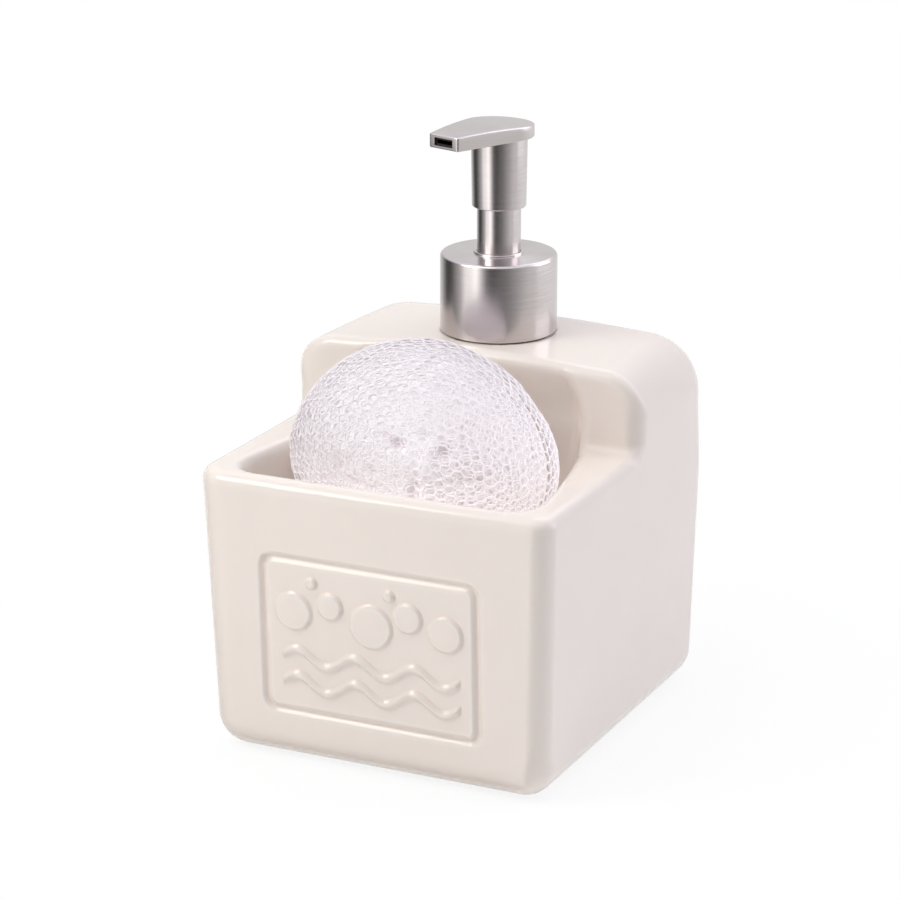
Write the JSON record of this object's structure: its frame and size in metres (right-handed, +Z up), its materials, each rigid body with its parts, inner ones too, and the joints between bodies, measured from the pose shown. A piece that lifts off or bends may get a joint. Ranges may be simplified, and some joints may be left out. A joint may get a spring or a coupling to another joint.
{
  "type": "soap pump caddy",
  "caption": "Glazed ceramic soap dispenser with a metal lotion pump on its tank and an open front tray that holds a round net scrubber.",
  "frame": {"origin": "centre of the base's footprint, on the surface the caddy stands on", "axes": "+X to the right seen from the tray's side, +Y from the tray towards the tank, +Z up"},
  "size_m": [0.1032, 0.1114, 0.1615],
  "materials": {
    "cream_glaze": "gloss",
    "brushed_steel": "brushed",
    "spring_steel": "drawn",
    "natural_plastic": "moulded",
    "black_plastic": "moulded",
    "seal_rubber": "matt",
    "nylon_net": "knitted net"
  },
  "bodies": {
    "caddy": {"ceramic_body": "cream_glaze", "insert_seal": "seal_rubber", "neck_insert": "natural_plastic"},
    "pump": {"neck_gasket": "seal_rubber", "pump_barrel": "natural_plastic", "lock_ring": "natural_plastic", "guide_tube": "brushed_steel", "ball_cage": "natural_plastic", "dip_tube": "natural_plastic", "spring": "spring_steel"},
    "collar": {"collar": "brushed_steel", "collar_liner": "natural_plastic"},
    "inlet_valve": {"inlet_ball": "spring_steel"},
    "plunger": {"piston": "natural_plastic"},
    "spout": {"piston_rod": "natural_plastic", "sleeve": "brushed_steel", "pump_head": "brushed_steel", "spout_liner": "black_plastic"},
    "outlet_valve": {"outlet_ball": "spring_steel"},
    "scrubber": {"scrubber": "nylon_net", "scrubber_tie": "nylon_net"}
  },
  "joints": [
    {"name": "pump_lift", "type": "slide", "parent": "caddy", "child": "pump", "axis": [0, 0, 1], "range_m": [0, 0.11]},
    {"name": "collar_turn", "type": "hinge", "parent": "pump", "child": "collar", "pos_m": [0, 0.02575, 0], "axis": [0, 0, 1], "continuous": true},
    {"name": "inlet_ball_lift", "type": "slide", "parent": "pump", "child": "inlet_valve", "axis": [0, 0, 1], "range_m": [0, 0.0012]},
    {"name": "pump_press", "type": "slide", "parent": "pump", "child": "plunger", "axis": [0, 0, 1], "range_m": [-0.0121, 0], "stiffness_N_per_m": 350, "springref_m": 0.006, "deforming": ["spring"]},
    {"name": "head_swivel", "type": "hinge", "parent": "plunger", "child": "spout", "pos_m": [0, 0.02575, 0], "axis": [0, 0, 1], "continuous": true},
    {"name": "outlet_ball_lift", "type": "slide", "parent": "spout", "child": "outlet_valve", "axis": [0, 0, 1], "range_m": [0, 0.0012]},
    {"name": "scrubber_lift", "type": "slide", "parent": "caddy", "child": "scrubber", "axis": [0, 0, 1], "range_m": [0, 0.045]}
  ]
}
